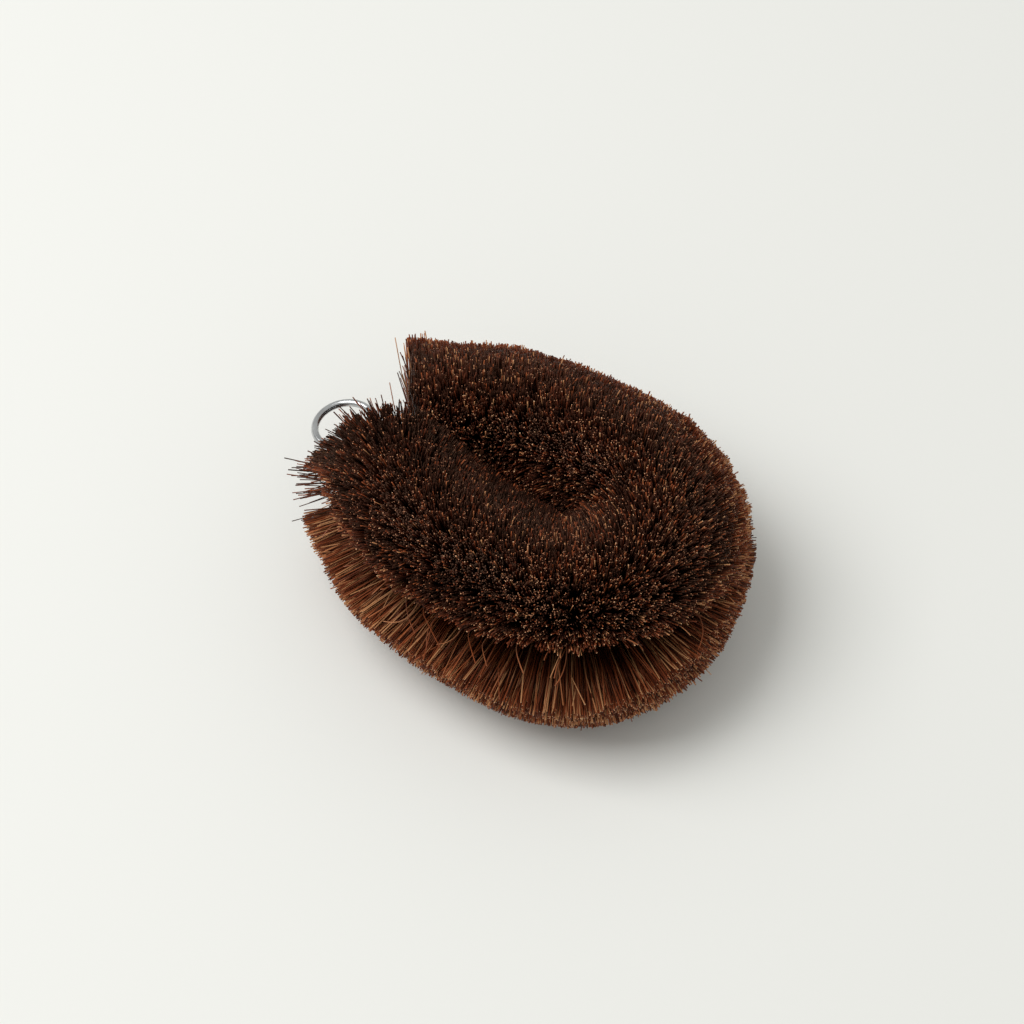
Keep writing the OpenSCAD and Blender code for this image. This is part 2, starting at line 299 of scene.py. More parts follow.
def fibre_faces(rows):
    """Triangles of one fibre, and at each corner the side that it stands on and its place from 0 to 1.

    Point 3 i + k is corner k of row i. Each wall is two triangles, and one closes each end. A fibre
    of three rows has its middle one at MIDDLE; more rows are evenly spaced.
    """
    place = np.linspace(0, 1, rows) if rows > 3 else np.array([0, MIDDLE, 1])
    faces, corner = [], []
    for row in range(rows - 1):
        for k in range(3):
            p, q = 3 * row + k, 3 * row + (k + 1) % 3
            for tri in ((p, q, q + 3), (p, q + 3, p + 3)):
                faces.append(tri)
                corner.append([(k + (i % 3 != p % 3), place[i // 3]) for i in tri])
    top = 3 * (rows - 1)
    faces += [(0, 2, 1), (top, top + 1, top + 2)]
    corner += [[(0, 0), (1, 0), (1, 0.01)], [(0, 1), (1, 1), (1, 1)]]
    return np.array(faces), np.array(corner, float)


print("a fibre of three rows has", len(fibre_faces(3)[0]), "triangles")

# %% Many fibres as one mesh
FLOOR_CLEAR = 0.05 * MM
# No fibre runs in this direction, so the cross product with it is never zero
ASKEW = np.array([0.31, 0.2, 0.93])


def unit(v):
    """Vectors of length 1: each divided by the root of the sum of its squares."""
    return v / np.linalg.norm(v, axis=-1, keepdims=True)


def fibre_mesh(paths, radii, tone, root, pale, rng):
    """Three-sided tubes along paths (fibre, point, 3) with radii (fibre, point).

    The corners stand at thirds of a circle round each fibre's chord, turned at random: path + radius
    (u cos a + v sin a). Returns points, triangles, which of them are smooth, and the map of tone and
    place at each corner. The place runs evenly from root to SIDES_END along the fibre, which sets its
    painted root shade, and pale says which cut ends are the pale ones, painted as glints.
    """
    n, rows = paths.shape[:2]
    chord = unit(paths[:, -1] - paths[:, 0])
    u = unit(np.cross(chord, ASKEW + 0.01 * rng.standard_normal((n, 3))))
    v = np.cross(chord, u)
    angle = rng.uniform(0, 2 * math.pi, (n, 1)) + np.arange(3) * 2 * math.pi / 3
    side = u[:, None] * np.cos(angle)[..., None] + v[:, None] * np.sin(angle)[..., None]
    points = paths[:, :, None] + radii[:, :, None, None] * side[:, None]
    points[..., 2] = np.maximum(points[..., 2], FLOOR_CLEAR)
    faces, corner = fibre_faces(rows)
    triangles = (faces[None] + 3 * rows * np.arange(n)[:, None, None]).reshape(-1, 3)
    uv = np.empty((n, len(faces), 3, 2))
    uv[..., 0] = np.clip(tone, 0.01, 0.97)[:, None, None] + SIDE_WIDTH * corner[None, ..., 0]
    uv[..., 1] = root[:, None, None] + (SIDES_END - root[:, None, None]) * corner[None, ..., 1]
    uv[:, -1, :, 1] = np.where(pale, CUT_PALE, CUT_DARK)[:, None] - np.array([0, 0, 0.004])
    smooth = np.tile(np.arange(len(faces)) < len(faces) - 2, n)
    return points.reshape(-1, 3), triangles, smooth, uv.reshape(-1, 2)


print("lowest that a fibre comes:", FLOOR_CLEAR / MM, "mm above the floor")

# %% [markdown]
# ## The bunches along the wire
#
# Each half turn of the twist clamps one bunch. The counts are the CAD's: six bunches round each toe,
# two along each straight, ten round the bend. Numbering them from the near arm's end lets each piece
# stand for the CAD bunch of the same number.

# %% Where the bunches start
TOE_BUNCHES = 6
STRAIGHT_BUNCHES = 2
BEND_BUNCHES = 10
BUNCH_COUNTS = [TOE_BUNCHES, STRAIGHT_BUNCHES, BEND_BUNCHES, STRAIGHT_BUNCHES, TOE_BUNCHES]
BUNCHES = sum(BUNCH_COUNTS)


def bunch_start(n):
    """Length where bunch number n starts, from 0: even steps between the ends of the stretches."""
    return np.interp(n, np.concatenate([[0], np.cumsum(BUNCH_COUNTS)]), STOPS[1:-1])


print(BUNCHES, "bunches; the first is", round(float(bunch_start(1)) / MM, 2), "mm long")

# %% [markdown]
# ## Where the fibres stand
#
# A fibre leaves the wire at a length s and an angle phi round it: 0 is outwards, 90 degrees up and
# 180 towards the other arm. The brush was bent after it was made, which crowds the fibres inside the
# bend and spreads them outside it, where they part along a line. The parting is widest where the
# bend starts and closes towards the bend's far side. Where the other arm is in the way, a fibre is
# pressed upright: it keeps its height, and its reach across ends at the seam.
#
# Hair grown on a surface could not know any of this. Drawing s and phi at random, and dropping
# fibres by simple rules, gives all of it.

# %% Parting and seam
SEAM_GAP = 0.2 * MM
# Edges of the parting, in degrees above and below level, at lengths along the wire
ABOVE_S = np.array([0, 5, 20, 45, 55, 66, 75, 84]) * MM
ABOVE = np.radians([8, 30, 31, 32, 37, 36, 30, 12])
BELOW_S = np.array([0, 3, 6, 10, 58, 70, 84, 96]) * MM
BELOW = np.radians([34, 25, 10, 6, 6, -8, -10, 6])


def reach_inward(s):
    """Level distance from the wire to the seam: the y distance over the cosine of the heading, or
    the bend's radius inside the bend."""
    slope = np.where(in_bend(s), 1, np.abs(np.cos(heading(s))))
    return np.where(in_bend(s), CORE_HALF_GAP, np.abs(core(s)[..., 1])) / slope - SEAM_GAP


print("from the wire to the seam on the straight:", round(float(reach_inward(S_BEND)) / MM, 1), "mm")

# %% Drawing the fibres of a bunch
FIBRES_PER_BUNCH = 3600
# Times as many are drawn, as the crowded ones are dropped
DRAWN = 3
# Least and most fibres that stand where one would on a straight wire
CROWD_LEAST, CROWD_MOST = 0.18, 1.9
# A pressed fibre that would stand up less than this share of its radius is left out
PRESSED_FLAT = 0.3
# Over this length the last fibres lean out, and the far arm's outer ones are this much longer
LEAN_LEN = 14 * MM
FAR_LONGER = 4.6 * MM


class Fibres:
    """The fibres of one bunch: one array for each thing that is known about them."""


def end_share(from_end):
    """1 where an arm's fibres end, falling with the square to 0 at LEAN_LEN from there."""
    return np.clip(1 - from_end / LEAN_LEN, 0, 1) ** 2


def fibre_starts(n, rng):
    """Fibres of bunch number n, drawn evenly over s and phi outside the parting.

    Each reaches radius cos(phi) across, but not past the seam. The share that is kept goes with
    1 + across x curvature, so there are fewer inside a turn and more outside it.
    """
    many = DRAWN * FIBRES_PER_BUNCH
    s = rng.uniform(bunch_start(n), bunch_start(n + 1), many)
    above = np.interp(s, ABOVE_S, ABOVE)
    phi = rng.uniform(above, 2 * math.pi - np.interp(s, BELOW_S, BELOW))
    outer = np.maximum(np.cos(phi), 0)
    radius = PILE_R + FAR_LONGER * end_share(S_END - s) * outer
    across = np.maximum(radius * np.cos(phi), -reach_inward(s))
    pressed = across > radius * np.cos(phi) + 1e-6
    share = np.clip(1 + across * turn(s), CROWD_LEAST, CROWD_MOST) / CROWD_MOST
    keep = (rng.uniform(0, 1, many) < share) & ~(pressed & (np.abs(np.sin(phi)) < PRESSED_FLAT))
    f = Fibres()
    f.s, f.phi, f.above, f.outer, f.radius, f.across, f.pressed = (
        values[keep][:FIBRES_PER_BUNCH] for values in (s, phi, above, outer, radius, across, pressed))
    return f


# One bunch of the bend is worked out here step by step, with random numbers of its own
TRIAL = 12
trial_rng = np.random.default_rng(SEED)
trial = fibre_starts(TRIAL, trial_rng)
print("bunch", TRIAL + 1, "has", len(trial.s), "fibres,", int(trial.pressed.sum()), "at the seam")

# %% [markdown]
# ## Tufts
#
# Dry palm fibres cling together. The tips gather in clumps some 2 mm wide, and these in tufts of
# 7 mm. A cell pattern does that: points stand about evenly on the unrolled pile, one to each square
# of a grid, and each tip goes a part of the way to the nearest one. The clump's own random number
# then gives all its fibres one tone and one height, which is what makes it show. Lower down on the
# outer side is the fringe, which hangs looser, and outside the bend the tufts stand apart.

# %% The nearest clump
GRID = 64
CELLS = np.random.default_rng(SEED).uniform(0, 1, (GRID, GRID, 3))


def nearest_clump(s, a, size):
    """Offset (s, a) to the nearest point of a jittered grid, and that point's own number."""
    i, j = np.floor(s / size).astype(int), np.floor(a / size).astype(int)
    best = np.full(len(s), np.inf)
    ds, da, lot = np.zeros(len(s)), np.zeros(len(s)), np.zeros(len(s))
    for di in (-1, 0, 1):
        for dj in (-1, 0, 1):
            cell = CELLS[(i + di) % GRID, (j + dj) % GRID]
            u = (i + di + cell[:, 0]) * size - s
            v = (j + dj + cell[:, 1]) * size - a
            near = u * u + v * v < best
            best = np.where(near, u * u + v * v, best)
            ds, da = np.where(near, u, ds), np.where(near, v, da)
            lot = np.where(near, cell[:, 2], lot)
    return ds, da, lot


print("clump numbers run from", round(CELLS[..., 2].min(), 3), "to", round(CELLS[..., 2].max(), 3))

# %% Gathering the tips
CLUMP = 2.4 * MM
TUFT = 7.0 * MM
# The tufts use the grid at another place, so their points aren't the clumps'
TUFT_SHIFT = 31 * MM
# The fringe starts at this angle and is full this much further round
FRINGE_START = math.radians(250)
FRINGE_BLEND = math.radians(40)
# Share of the way that a tip goes to its clump, and how much more in the fringe and round the bend
PULL_LEAST, PULL_MOST = 0.1, 0.55
FRINGE_PULL = 0.25
BEND_PULL = 0.3
# Share of the fibres that stand off wildly, and how many more in the fringe
WILD_SHARE = 0.02
FRINGE_WILD = 0.01


def smoothstep(t):
    """0 up to t = 0 and 1 from t = 1 on, with 3 t^2 - 2 t^3 between."""
    t = np.clip(t, 0, 1)
    return t * t * (3 - 2 * t)


def gather(f, rng):
    """Adds each fibre's clump and tuft, its share of fringe, and its pull to the clump: a random
    share, and more by chance in the fringe and where the bend sets the tufts apart."""
    count = len(f.s)
    arc = PILE_R * f.phi
    f.clump_s, f.clump_a, f.lot = nearest_clump(f.s, arc, CLUMP)
    f.tuft_s, _, f.tuft_lot = nearest_clump(f.s + TUFT_SHIFT, arc, TUFT)
    f.fringe = smoothstep((f.phi - FRINGE_START) / FRINGE_BLEND)
    f.apart = np.clip(f.across * turn(f.s), 0, 1)
    more = FRINGE_PULL * f.fringe + BEND_PULL * f.apart
    f.pull = rng.uniform(PULL_LEAST, PULL_MOST, count) + more * rng.uniform(0, 1, count)
    f.wild = rng.uniform(0, 1, count) < WILD_SHARE + FRINGE_WILD * f.fringe


gather(trial, trial_rng)
print("mean pull:", round(float(trial.pull.mean()), 2), "and", int(trial.wild.sum()), "wild fibres")

# %% [markdown]
# ## Shearing
#
# The pile is sheared round. A boolean could cut it, but would be slow on thousands of thin tubes,
# and a cut fibre simply has another length. So each length is a share of the sheared radius: close
# to 1, a little different for each tuft, clump and fibre, and less where one broke or slipped. The
# shears left the outer side not quite even, and the fringe longest at the near arm's end, at its
# upper corner there, and low on the bend.

# %% Lengths of the fibres
# Share of the radius that the outer side has more or less, at lengths along the wire
UNEVEN_S = np.array([0, 22, 63, 72, 82, 93, 109, 127, 147]) * MM
UNEVEN = np.array([0, 0.03, 0.02, 0, -0.05, 0, -0.02, -0.035, 0.01])
# Unevenness: by fibre, in the fringe, by tuft, by clump, and more in the bend
FIBRE_SCATTER, FRINGE_SCATTER = 0.012, 0.015
TUFT_UNEVEN, CLUMP_UNEVEN, BEND_UNEVEN = 0.03, 0.024, 0.03
# Share of short fibres, the most that one is short, the most that a wild one is long, the longest
SHORT_SHARE, SHORT_BY, WILD_LONGER, LONGEST = 0.14, 0.14, 0.04, 1.045
# Of the fibres that the seam presses, some stop short of it by about this
SHORT_OF_SEAM = 0.9 * MM
# The fringe's extra length: at the near end and how far that reaches, on the bend, at the corner
FRINGE_NEAR, FRINGE_NEAR_LEN, FRINGE_BEND, FRINGE_CORNER = 0.05, 25 * MM, 0.06, 0.09
# Middle and width of those two stretches, and where the corner's starts in cos(phi), and its rise
LOW_BEND, CORNER, CORNER_FROM, CORNER_RISE = (68 * MM, 12 * MM), (5 * MM, 3.5 * MM), 0.6, 3


def bump(s, middle, width):
    """1 at the middle, falling evenly to both sides: exp(-((s - middle) / width) squared)."""
    return np.exp(-((s - middle) / width) ** 2)


def shear(f, rng):
    """Adds each fibre's length as a share of the radius: 1 + scatter + what its tuft and clump
    stand out, less what a short one lacks, at most LONGEST; then the uneven side and the fringe."""
    count = len(f.s)
    length = (1 + rng.normal(0, FIBRE_SCATTER, count) + TUFT_UNEVEN * (f.tuft_lot - 0.5)
              + (CLUMP_UNEVEN + BEND_UNEVEN * f.apart) * (f.lot - 0.5))
    length -= np.where(rng.uniform(0, 1, count) < SHORT_SHARE, rng.uniform(0, SHORT_BY, count), 0)
    length += (f.fringe * rng.normal(0, FRINGE_SCATTER, count)
               + f.wild * rng.uniform(0, WILD_LONGER, count))
    length = np.minimum(length, LONGEST) + np.interp(f.s, UNEVEN_S, UNEVEN) * f.outer
    f.across = f.across + f.pressed * np.abs(rng.normal(0, SHORT_OF_SEAM, count))
    at_end = FRINGE_NEAR * np.clip(1 - f.s / FRINGE_NEAR_LEN, 0, 1)
    on_bend = FRINGE_BEND * bump(f.s, *LOW_BEND)
    corner = FRINGE_CORNER * bump(f.s, *CORNER) * smoothstep(CORNER_RISE * (f.outer - CORNER_FROM))
    f.length = length + f.fringe * (at_end + on_bend + corner)


shear(trial, trial_rng)
print("lengths from", round(float(trial.length.min()), 2), "to", round(float(trial.length.max()), 2))

# %% [markdown]
# ## Leaning ends and loose tips
#
# At both ends of the bar nothing holds the last fibres, so they lean out. On the near arm only those
# that stand up do, and on the far arm the outer ones slant back instead, as the photo shows. Hair
# dynamics could find such a shape, but moving each tip by a known lean, then towards its clump and
# then by a random spread is quicker, and the same every time.

# %% Bases and tips
# How far the last fibres of each arm lean out, and the far arm's outer ones slant back
NEAR_LEAN = 2.8 * MM
FAR_LEAN = 1.3 * MM
FAR_SLANT = 7.3 * MM
# A near fibre starts to lean where cos(phi) is below the first, and leans fully the second lower
UPRIGHT_FROM, UPRIGHT_BLEND = 0.85, 0.4
# Distance of the bases from the wire's middle, in mm
BASE_LEAST, BASE_MOST = 0.8, 2.4
# Spread of the tips in mm: of all, more in the fringe, more of the wild ones
SPREAD, FRINGE_SPREAD, WILD_SPREAD = 0.5, 0.8, 2.5
# Share of the way to the tuft along the wire, of the clump's pull round it, and of the spread round it
TUFT_PULL, PULL_ROUND, SPREAD_ROUND = 0.12, 0.7, 0.5


def scaled(vectors, lengths):
    """Each vector times its own length."""
    return lengths[..., None] * vectors


def lean(f):
    """How far tips move along the wire: out of the nearer end, by the arm's lean times end_share."""
    near, far = end_share(f.s), end_share(S_END - f.s)
    stands_up = smoothstep((UPRIGHT_FROM - np.cos(f.phi)) / UPRIGHT_BLEND)
    past = NEAR_LEAN * stands_up * near + (FAR_LEAN - FAR_SLANT * f.outer) * far
    return np.where(f.s > S_END / 2, 1, -1) * past


def place_tips(f, rng):
    """Adds bases and tips: core + base radius x radial, and core + length (across x out + height x
    up), moved along the wire by lean, pull and spread, and round it by pull and spread."""
    count = len(f.s)
    out, ahead = outward(f.s), along(f.s)
    high = f.radius * np.sin(f.phi)
    base_r = rng.uniform(BASE_LEAST, BASE_MOST, count) * MM
    radial = scaled(out, np.cos(f.phi)) + scaled(UP, np.sin(f.phi))
    sideways = scaled(out, -np.sin(f.phi)) + scaled(UP, np.cos(f.phi))
    f.base = core(f.s) + scaled(radial, base_r)
    tip = core(f.s) + scaled(out, f.across * f.length) + scaled(UP, high * f.length)
    spread = (SPREAD + FRINGE_SPREAD * f.fringe + WILD_SPREAD * f.wild) * MM
    tip += scaled(ahead, lean(f) + f.pull * f.clump_s + TUFT_PULL * f.tuft_s
                  + rng.normal(0, 1, count) * spread)
    tip += scaled(sideways, f.pull * PULL_ROUND * f.clump_a
                  + rng.normal(0, SPREAD_ROUND, count) * spread)
    f.tip = tip


place_tips(trial, trial_rng)
print("highest tip:", round(float(trial.tip[:, 2].max()) / MM, 1), "mm")

# %% Seam, floor and top
# Near the near arm's end tips may pass the seam by up to this share of what they would
PAST_SEAM = 0.7
# Tips stay this far above the floor, and at most this far above the sheared top
TIP_CLEAR = 0.1 * MM
TOP_LOOSE = 0.6 * MM


def hold_inside(f, rng):
    """Moves tips back to the seam in y, less a random share near the end; limits their height; and
    cuts a fibre that would end below the floor where it meets it: base + scale (tip - base)."""
    base, tip = f.base, f.tip
    side = np.where(f.s > S_END / 2, 1, -1)
    over = np.minimum(side * tip[:, 1] - SEAM_GAP, 0)
    over = over * (1 - PAST_SEAM * end_share(f.s) * rng.uniform(0, 1, len(f.s)))
    tip[:, 1] -= side * over
    tip[:, 2] = np.minimum(tip[:, 2], 2 * PILE_R + TOP_LOOSE)
    low = tip[:, 2] < TIP_CLEAR
    scale = np.where(low, (base[:, 2] - TIP_CLEAR) / (base[:, 2] - tip[:, 2]), 1.0)
    f.tip = base + scaled(tip - base, scale)


hold_inside(trial, trial_rng)
print("lowest tip:", round(float(trial.tip[:, 2].min()) / MM, 2), "mm")

# %% [markdown]
# ## Tones of the fibres
#
# The fringe and the lip above the parting are painted paler than the sheared top, as painted light,
# because their fibres lie side on to the light and to the eye. The near arm and its end are painted
# darker as painted shade. One fibre in eight or so is bright anywhere, partly a real spread of tone
# and partly painted glints. This could be painted by hand; worked out from the same angles and
# clumps as the shape, it agrees with it.

# %% Tone, cut end and thickness
# A fibre's radius, and the least and most share of it that a fibre of the pile has
FIBRE_R = 0.155 * MM
THICKNESS = (0.7, 1.25)
# The lip's width over the start and the end of its paler stretch
LIP_S = np.array([75, 95]) * MM
LIP_WIDTH = np.radians([12, 55])
# Of the top's tone: by fibre, by clump and by tuft, and the share of it that the fringe takes away
TOP_TONE, CLUMP_TONE, TUFT_TONE, TAKEN_BY_FRINGE = 0.25, 0.18, 0.1, 0.5
# The fibres' own tones are a beta distribution: most near the middle, a few nearly black or pale
TONE_SHAPE = (2.0, 2.6)
# Least and most tone that the fringe and the lip add, partly as painted light, and a bright fibre,
# partly as a painted glint, and what a wild one adds
FRINGE_TONE_AND_LIGHT, LIP_LIGHT, BRIGHT_TONE, WILD_TONE = (0.2, 0.84), (0.05, 0.6), (0.15, 0.75), 0.2
# How the fringe's painted light changes from the near end, lighter, to the bend, darker, and how
# the lip's painted light grows over its paler stretch
FRINGE_S, FRINGE_LIGHT_CHANGE, LIP_LIGHT_CHANGE = [0, 75 * MM], [0.06, -0.09], [0, 0.28]
# Painted shade on the near arm's end and on the near arm, and what the bend is darker
END_SHADE, ARM_SHADE, BEND_DARKER = 0.05, 0.08, 0.06
# Share of bright fibres, partly real tone and partly painted glints, and of cut ends painted pale
# as glints, and how many more painted glints in the bend and in the fringe
BRIGHT, BEND_GLINT_FIBRES, GLINT_ENDS, BEND_GLINT_ENDS, FRINGE_GLINT_ENDS = 0.12, 0.07, 0.12, 0.08, 0.3
# Place of the roots on the map, where the painted shade towards the root starts, at 0 for the top;
# the fringe and the lip start further along, so their painted shade is lighter
FRINGE_ROOT, LIP_ROOT = 0.6, 0.45


def tones(f, rng):
    """Adds tone, the root's place on the map and which cut ends are pale: the top's tone plus the
    painted light of the fringe and the lip and what wild and bright fibres add, less the painted
    shade of the near arm and its end and what the bend loses."""
    count, bend = len(f.s), in_bend(f.s)
    lip = smoothstep((f.above - f.phi) / np.interp(f.s, LIP_S, LIP_WIDTH) + 1)
    tone = (1 - TAKEN_BY_FRINGE * f.fringe) * (
        TOP_TONE * rng.beta(*TONE_SHAPE, count) + CLUMP_TONE * f.lot + TUFT_TONE * f.tuft_lot)
    # Painted light: the fringe is drawn paler, more at the near end and less towards the bend
    tone += f.fringe * (rng.uniform(*FRINGE_TONE_AND_LIGHT, count)
                        + np.interp(f.s, FRINGE_S, FRINGE_LIGHT_CHANGE))
    # Painted light: the lip above the parting is drawn paler
    tone += (lip * (rng.uniform(*LIP_LIGHT, count) + np.interp(f.s, LIP_S, LIP_LIGHT_CHANGE))
             + WILD_TONE * f.wild)
    # Painted shade: the near arm and its end are drawn darker; the bend is darker too
    tone -= (1 - f.fringe) * (END_SHADE * end_share(f.s) + ARM_SHADE * (f.s < S_BEND)
                              + BEND_DARKER * bend)
    # Bright fibres: partly a real spread of tone, partly painted glints, more of them in the bend
    bright = rng.uniform(0, 1, count) < BRIGHT + BEND_GLINT_FIBRES * bend
    f.tone = tone + np.where(bright, rng.uniform(*BRIGHT_TONE, count), 0)
    f.r = FIBRE_R * rng.uniform(*THICKNESS, count)
    # Cut ends painted pale as glints
    f.pale = rng.uniform(0, 1, count) < GLINT_ENDS + FRINGE_GLINT_ENDS * f.fringe + BEND_GLINT_ENDS * bend
    # The fringe and the lip start their painted root shade further along, so it is lighter there
    f.root = np.maximum(FRINGE_ROOT * f.fringe, LIP_ROOT * lip)


tones(trial, trial_rng)
print("mean tone:", round(float(trial.tone.mean()), 2), "and", int(trial.pale.sum()), "pale cut ends")

# %% The pile of one bunch
# Bow of a fibre's middle in mm, three times as much in a wild one
BOW = 0.45
# A fibre is a little thinner at its root
TAPER = np.array([0.9, 1.0, 1.0])


def pile(n, rng):
    """Paths, radii, tones, map places of the roots and pale cut ends of bunch number n's fibres.

    Each path is base, middle and tip, where the middle is base + MIDDLE (tip - base) + bow.
    """
    f = fibre_starts(n, rng)
    gather(f, rng)
    shear(f, rng)
    place_tips(f, rng)
    hold_inside(f, rng)
    bow = rng.normal(0, BOW, (len(f.s), 3)) * MM * (1 + 2 * f.wild)[:, None]
    middle = f.base + MIDDLE * (f.tip - f.base) + bow
    tones(f, rng)
    return np.stack([f.base, middle, f.tip], 1), scaled(TAPER, f.r), f.tone, f.root, f.pale


print("paths of a bunch:", pile(TRIAL, np.random.default_rng(SEED))[0].shape)

# %% [markdown]
# ## Loose hairs
#
# A few long fibres have worked loose. They start just inside the sheared surface and curl over it,
# most of them from the parting down over the fringe. They are painted paler, as painted light that
# falls on them from all sides, and their cut ends are painted glints. Each could be drawn by hand as a
# curve; a formula with random numbers gives every bunch a few of its own, as the same tubes with
# more rows.

# %% Loose hairs
HAIRS_PER_BUNCH = 4
HAIR_ROWS = 9
# Half start at the parting's upper edge and up to 0.14 radians above it, half this far below level
HAIR_ABOVE, HAIR_BELOW = (0, 0.14), (-0.7, -0.14)
# Degrees that they fall, and in mm their drift along the wire, their curl and their rise off the pile
HAIR_FALL, HAIR_DRIFT, HAIR_CURL, HAIR_RISE = (4, 30), 3.0, 1.1, (2.2, 4.2)
# Where they start, as a share of the pile's radius, and its spread
HAIR_START, HAIR_START_SPREAD = 0.86, 0.02
# Their thickness, their tone, painted pale as painted light, and their root's place on the map,
# where their painted root shade starts
HAIR_THICKNESS, HAIR_LIT_TONE, HAIR_ROOT = (0.7, 1.1), (0.7, 0.97), 0.6


def loose_hairs(n, rng):
    """Curves along the pile's surface: the angle falls from phi by up to 30 degrees, the distance
    from the wire grows, and the place along the wire drifts with the square of t."""
    count = HAIRS_PER_BUNCH
    one_each = (count, 1)
    t = np.linspace(0, 1, HAIR_ROWS)[None]
    s = rng.uniform(bunch_start(n), bunch_start(n + 1), one_each)
    phi = np.where(rng.uniform(0, 1, one_each) < 0.5,
                   np.interp(s, ABOVE_S, ABOVE) + rng.uniform(*HAIR_ABOVE, one_each),
                   rng.uniform(*HAIR_BELOW, one_each))
    fall = np.radians(rng.uniform(*HAIR_FALL, one_each))
    drift = rng.normal(0, HAIR_DRIFT, one_each) * MM
    curl = rng.normal(0, HAIR_CURL, one_each) * MM
    angle = phi - fall * t + 0.5 * curl / PILE_R * np.sin(2 * math.pi * t)
    radius = PILE_R * (HAIR_START + HAIR_START_SPREAD * rng.standard_normal(one_each))
    radius = radius + t * rng.uniform(*HAIR_RISE, one_each) * MM
    place = np.broadcast_to(s, angle.shape)
    radial = scaled(outward(place), np.cos(angle)) + scaled(UP, np.sin(angle))
    path = core(place) + scaled(radial, radius)
    path = path + scaled(along(place), drift * t ** 2 + curl * np.sin(math.pi * t))
    radii = FIBRE_R * rng.uniform(*HAIR_THICKNESS, one_each) * np.ones_like(t)
    tone = rng.uniform(*HAIR_LIT_TONE, count)
    # Every loose hair has a painted glint at its cut end
    return path, radii, tone, np.full(count, HAIR_ROOT), np.ones(count, bool)


hair_path = loose_hairs(TRIAL, np.random.default_rng(SEED))[0]
hair_length = np.linalg.norm(np.diff(hair_path, axis=1), axis=-1).sum(1)
print("loose hairs of", np.round(hair_length / MM, 1).tolist(), "mm")

# %% [markdown]
# ## Stray fibres at the ends
#
# At both arms' ends some fibres stick out straight, past the others. On the near arm many stand up
# before the ring and some stick out level; the far arm has fewer. They start about a third out
# in the pile, so their roots are hidden, and a base, a slightly bowed middle and a tip make each.

# %% Stray fibres at an arm's end
# Of each end: how many, between which degrees they stand, how much longer they are, and in mm how
# far they lean out past the others and how much their tips scatter
NEAR_STRAYS = {"count": 130, "stand": (50, 130), "longer": 0.03, "past": 1.4, "scatter": 1.1}
FAR_STRAYS = {"count": 18, "stand": (35, 110), "longer": 0.01, "past": 0.5, "scatter": 0.7}
# They leave the wire within a few times this length from the end
STRAY_LEN = 1.4 * MM
# Share of the near ones that stick out level, and their degrees, the mean and spread of their lean
# in mm, and how much longer they are
LEVEL_SHARE, LEVEL_ANGLES, LEVEL_PAST, LEVEL_LONGER = 0.4, (-12, 12), (-3.0, 1.4), (0, 0.11)
# Where their bases are, as a share of the way out, their bow in mm, tones and share of cut ends
# painted pale as glints
STRAY_BASE, STRAY_BOW, STRAY_TONE, STRAY_GLINT_ENDS = 0.3, 0.7, (0.2, 0.8), 0.3
# They stay this far below the pile's full height
STRAY_TOP = 0.3 * MM


def end_hairs(n, rng):
    """Straight stray fibres at an arm's end: core + length (across x out + height x up), leaning
    out past the end. Those that point inwards reach no further than the seam."""
    first = n == 0
    own = NEAR_STRAYS if first else FAR_STRAYS
    count = own["count"]
    from_end = rng.exponential(STRAY_LEN, count)
    s = from_end if first else S_END - from_end
    level = (rng.uniform(0, 1, count) < LEVEL_SHARE) & first
    level_angle = rng.uniform(*LEVEL_ANGLES, count) if first else 0
    phi = np.radians(np.where(level, level_angle, rng.uniform(*own["stand"], count)))
    side = -1 if first else 1
    reach = np.minimum(np.abs(np.cos(phi)) * PILE_R, reach_inward(s)) * np.sign(np.cos(phi))
    across = np.where(np.cos(phi) < 0, reach, np.cos(phi) * PILE_R)
    arm_lean = NEAR_LEAN if first else FAR_LEAN - FAR_SLANT * np.maximum(np.cos(phi), 0)
    more = np.where(level, rng.normal(*LEVEL_PAST, count), rng.exponential(own["past"], count)) * MM
    length = 1 + rng.normal(own["longer"], 0.03, count) + level * rng.uniform(*LEVEL_LONGER, count)
    base = core(s) + scaled(outward(s), STRAY_BASE * across)
    base = base + scaled(UP, STRAY_BASE * PILE_R * np.sin(phi))
    tip = core(s) + scaled(outward(s), across * length) + scaled(UP, PILE_R * np.sin(phi) * length)
    tip += scaled(along(s), side * (arm_lean + more)) + rng.normal(0, own["scatter"], (count, 3)) * MM
    middle = 0.4 * base + 0.6 * tip + rng.normal(0, STRAY_BOW, (count, 3)) * MM
    tip[:, 2] = np.minimum(tip[:, 2], 2 * PILE_R - STRAY_TOP)
    radii = FIBRE_R * rng.uniform(*HAIR_THICKNESS, (count, 1)) * np.ones(3)
    # Their painted root shade starts at 0.2 on the map, and some cut ends are painted glints
    return (np.stack([base, middle, tip], 1), radii, rng.uniform(*STRAY_TONE, count),
            np.full(count, 0.2), rng.uniform(0, 1, count) < STRAY_GLINT_ENDS)


print("stray fibres:", NEAR_STRAYS["count"], "at the near end,", FAR_STRAYS["count"], "at the far end")

# %% [markdown]
# ## Room for the ring
#
# The ring swings down before the near arm's end, where a few fibres would stand in its way.
# Shortening them all would spoil the end's look, so only those in the ring's room are left out.

# %% Fibres clear of the ring
# The ring's room: below the wire's level, outwards from this x, and this far to either side
ROOM_X = -39.0 * MM
ROOM_HALF_Y = 9.6 * MM
ROOM_TESTS = 12


